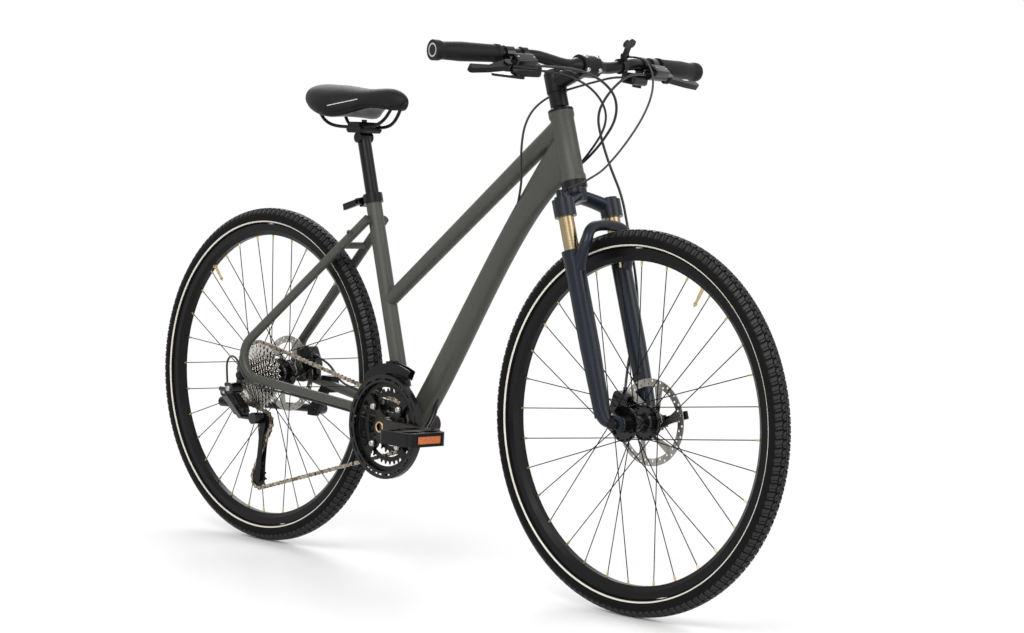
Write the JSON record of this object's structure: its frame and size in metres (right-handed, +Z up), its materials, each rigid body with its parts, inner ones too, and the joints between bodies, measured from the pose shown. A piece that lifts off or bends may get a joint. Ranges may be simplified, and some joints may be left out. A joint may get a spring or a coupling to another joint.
{
  "type": "hybrid bicycle",
  "caption": "Hybrid bicycle with a suspension fork, disc brakes, triple crank and derailleurs, kickstand and padded saddle: pedals drive the rear wheel and the bar steers the front one.",
  "frame": {"origin": "on the floor midway between the two axles, in the middle plane", "axes": "+X forward, +Y to the rider's left, +Z up"},
  "size_m": [1.7519, 0.704, 1.0514],
  "materials": {
    "frame_paint": "matte",
    "black_paint": "satin",
    "gold_coating": "polished",
    "black_alloy": "satin",
    "grey_alloy": "satin",
    "steel": "brushed",
    "black_steel": "satin",
    "chain_steel": "satin",
    "tyre_rubber": "matte",
    "grip_rubber": "matte",
    "black_resin": "matte",
    "gloss_resin": "gloss",
    "cable_sleeve": "satin",
    "saddle_skin": "satin"
  },
  "bodies": {
    "frame": {"frame": "frame_paint", "bearing_cups": "steel", "seat_clamp": "black_alloy", "front_derailleur_clamp": "black_alloy", "kickstand_mount": "black_alloy", "rear_caliper": "black_alloy", "rear_axle": "steel", "derailleur_knuckle": "black_alloy", "chain": "chain_steel", "rear_brake_hose": "cable_sleeve", "shift_cables": "cable_sleeve"},
    "seatpost": {"seatpost": "black_alloy", "saddle_base": "black_resin", "saddle_cover": "saddle_skin"},
    "seat_clamp_lever": {"seat_clamp_lever": "black_alloy"},
    "crankset": {"right_crank": "grey_alloy", "left_crank": "grey_alloy", "chainrings": "black_steel", "chain_guard": "black_resin"},
    "right_pedal": {"right_pedal": "black_resin"},
    "left_pedal": {"left_pedal": "black_resin"},
    "rear_wheel": {"rear_tyre": "tyre_rubber", "rear_rim": "black_alloy", "rear_spokes": "black_steel", "rear_hub": "black_alloy", "rear_rotor": "steel"},
    "cassette": {"cassette": "steel"},
    "steering": {"fork_crown": "black_paint", "stanchions": "gold_coating", "stem": "black_alloy", "handlebar": "black_alloy", "grips": "grip_rubber", "brake_lever_bodies": "black_alloy", "shifter_bodies": "gloss_resin", "fork_cables": "cable_sleeve"},
    "fork_lowers": {"fork_lowers": "black_paint", "front_caliper": "black_alloy", "front_axle": "steel"},
    "front_wheel": {"front_tyre": "tyre_rubber", "front_rim": "black_alloy", "front_spokes": "black_steel", "front_hub": "black_alloy", "front_rotor": "steel"},
    "right_brake_lever": {"right_brake_lever": "black_alloy"},
    "left_brake_lever": {"left_brake_lever": "black_alloy"},
    "right_thumb_lever": {"right_thumb_lever": "black_resin"},
    "left_thumb_lever": {"left_thumb_lever": "black_resin"},
    "lockout_remote_lever": {"lockout_remote_lever": "black_resin"},
    "lockout_spool": {"lockout_spool": "black_resin"},
    "derailleur_outer_link": {"derailleur_outer_link": "black_alloy"},
    "derailleur_inner_link": {"derailleur_inner_link": "black_alloy"},
    "derailleur_body": {"derailleur_body": "black_alloy"},
    "derailleur_cage": {"derailleur_cage": "black_steel"},
    "guide_pulley": {"guide_pulley": "black_resin"},
    "tension_pulley": {"tension_pulley": "black_resin"},
    "front_derailleur_link": {"front_derailleur_link": "black_alloy"},
    "front_derailleur_cage": {"front_derailleur_cage": "steel"},
    "kickstand_leg": {"kickstand_leg": "black_alloy"},
    "front_qr_lever": {"front_qr_lever": "black_alloy"},
    "rear_qr_lever": {"rear_qr_lever": "black_alloy"}
  },
  "joints": [
    {"name": "steering_turn", "type": "hinge", "parent": "frame", "child": "steering", "pos_m": [0.48494, 0, 0.33837], "axis": [-0.3007, 0, 0.9537], "range_deg": [-60, 60], "deforming": ["rear_brake_hose", "shift_cables"]},
    {"name": "fork_travel", "type": "slide", "parent": "steering", "child": "fork_lowers", "axis": [-0.3007, 0, 0.9537], "range_m": [0, 0.05], "stiffness_N_per_m": 8000, "springref_m": -0.02, "deforming": ["fork_cables"]},
    {"name": "front_wheel_spin", "type": "hinge", "parent": "fork_lowers", "child": "front_wheel", "pos_m": [0.525, 0, 0.351], "axis": [0, 1, 0], "continuous": true},
    {"name": "rear_wheel_spin", "type": "hinge", "parent": "frame", "child": "rear_wheel", "pos_m": [-0.525, 0, 0.351], "axis": [0, 1, 0], "continuous": true},
    {"name": "crank_spin", "type": "hinge", "parent": "frame", "child": "crankset", "pos_m": [-0.08578, 0, 0.286], "axis": [0, 1, 0], "continuous": true, "deforming": ["chain"]},
    {"name": "cassette_spin", "type": "hinge", "parent": "frame", "child": "cassette", "pos_m": [-0.525, 0, 0.351], "axis": [0, 1, 0], "continuous": true},
    {"name": "right_pedal_spin", "type": "hinge", "parent": "crankset", "child": "right_pedal", "pos_m": [0.08422, 0, 0.286], "axis": [0, 1, 0], "continuous": true},
    {"name": "left_pedal_spin", "type": "hinge", "parent": "crankset", "child": "left_pedal", "pos_m": [-0.25578, 0, 0.286], "axis": [0, 1, 0], "continuous": true},
    {"name": "seatpost_height", "type": "slide", "parent": "frame", "child": "seatpost", "axis": [-0.2756, 0, 0.9613], "range_m": [-0.1, 0.08]},
    {"name": "seat_clamp_open", "type": "hinge", "parent": "frame", "child": "seat_clamp_lever", "pos_m": [-0.23958, -0.0154, 0.7246], "axis": [-0.2756, 0, 0.9613], "range_deg": [0, 110]},
    {"name": "right_brake_pull", "type": "hinge", "parent": "steering", "child": "right_brake_lever", "pos_m": [0.37422, -0.21488, 0.98457], "axis": [-0.6118, 0.1113, -0.7831], "range_deg": [0, 14], "stiffness_Nm_per_rad": 0.6, "springref_deg": -5.73},
    {"name": "left_brake_pull", "type": "hinge", "parent": "steering", "child": "left_brake_lever", "pos_m": [0.37422, 0.21488, 0.98457], "axis": [0.6118, 0.1113, 0.7831], "range_deg": [0, 14], "stiffness_Nm_per_rad": 0.6, "springref_deg": -5.73},
    {"name": "right_shift_push", "type": "hinge", "parent": "steering", "child": "right_thumb_lever", "pos_m": [0.3503, -0.156, 0.969], "axis": [0.1671, -0.041, 0.9851], "range_deg": [0, 20], "stiffness_Nm_per_rad": 0.3, "springref_deg": -5.73},
    {"name": "left_shift_push", "type": "hinge", "parent": "steering", "child": "left_thumb_lever", "pos_m": [0.3503, 0.156, 0.969], "axis": [-0.1671, -0.041, -0.9851], "range_deg": [0, 20], "stiffness_Nm_per_rad": 0.3, "springref_deg": -5.73},
    {"name": "lockout_push", "type": "hinge", "parent": "steering", "child": "lockout_remote_lever", "pos_m": [0.37473, 0.09287, 1.01966], "axis": [-0.0595, 0.9821, 0.1786], "range_deg": [0, 25], "deforming": ["fork_cables"]},
    {"name": "lockout_turn", "type": "hinge", "parent": "steering", "child": "lockout_spool", "pos_m": [0.37843, -0.062, 0.74936], "axis": [-0.3007, 0, 0.9537], "range_deg": [0, 60], "deforming": ["fork_cables"]},
    {"name": "derailleur_swing", "type": "hinge", "parent": "frame", "child": "derailleur_outer_link", "pos_m": [-0.558, -0.0895, 0.311], "axis": [1, 0, 0], "range_deg": [-40, 0], "deforming": ["chain", "shift_cables"]},
    {"name": "derailleur_inner_swing", "type": "hinge", "parent": "frame", "child": "derailleur_inner_link", "pos_m": [-0.558, -0.075, 0.319], "axis": [1, 0, 0], "range_deg": [-40, 0]},
    {"name": "derailleur_body_turn", "type": "hinge", "parent": "derailleur_outer_link", "child": "derailleur_body", "pos_m": [-0.558, -0.0535, 0.269], "axis": [1, 0, 0], "range_deg": [0, 40]},
    {"name": "derailleur_cage_turn", "type": "hinge", "parent": "derailleur_body", "child": "derailleur_cage", "pos_m": [-0.506, -0.028, 0.261], "axis": [0, 1, 0], "range_deg": [-35, 35], "deforming": ["chain"]},
    {"name": "guide_pulley_spin", "type": "hinge", "parent": "derailleur_cage", "child": "guide_pulley", "pos_m": [-0.5, -0.028, 0.252], "axis": [0, 1, 0], "continuous": true},
    {"name": "tension_pulley_spin", "type": "hinge", "parent": "derailleur_cage", "child": "tension_pulley", "pos_m": [-0.51243, -0.028, 0.13466], "axis": [0, 1, 0], "continuous": true},
    {"name": "front_derailleur_swing", "type": "hinge", "parent": "frame", "child": "front_derailleur_link", "pos_m": [-0.10949, -0.03, 0.36867], "axis": [1, 0, 0], "range_deg": [0, 21.8], "stiffness_Nm_per_rad": 0.5, "springref_deg": -8.59, "deforming": ["chain", "shift_cables"]},
    {"name": "front_derailleur_cage_turn", "type": "hinge", "parent": "front_derailleur_link", "child": "front_derailleur_cage", "pos_m": [-0.10949, -0.0225, 0.40767], "axis": [1, 0, 0], "range_deg": [-21.8, 0]},
    {"name": "kickstand_swing", "type": "hinge", "parent": "frame", "child": "kickstand_leg", "pos_m": [-0.451, 0.074, 0.281], "axis": [0.3007, -0.9537, 0], "range_deg": [0, 100]},
    {"name": "front_quick_release_open", "type": "hinge", "parent": "fork_lowers", "child": "front_qr_lever", "pos_m": [0.525, 0.067, 0.351], "axis": [-0.3007, 0, 0.9537], "range_deg": [0, 90]},
    {"name": "rear_quick_release_open", "type": "hinge", "parent": "frame", "child": "rear_qr_lever", "pos_m": [-0.525, 0.0815, 0.351], "axis": [0, 0, -1], "range_deg": [0, 90]}
  ],
  "couplings": [
    {"joint": "cassette_spin", "follows": "crank_spin", "ratio": 0.76471},
    {"joint": "guide_pulley_spin", "follows": "crank_spin", "ratio": -2.3636},
    {"joint": "tension_pulley_spin", "follows": "crank_spin", "ratio": 2.3636},
    {"joint": "derailleur_inner_swing", "follows": "derailleur_swing", "ratio": 1},
    {"joint": "derailleur_body_turn", "follows": "derailleur_swing", "ratio": -1},
    {"joint": "front_derailleur_cage_turn", "follows": "front_derailleur_swing", "ratio": -1},
    {"joint": "lockout_turn", "follows": "lockout_push", "ratio": 2.4}
  ]
}
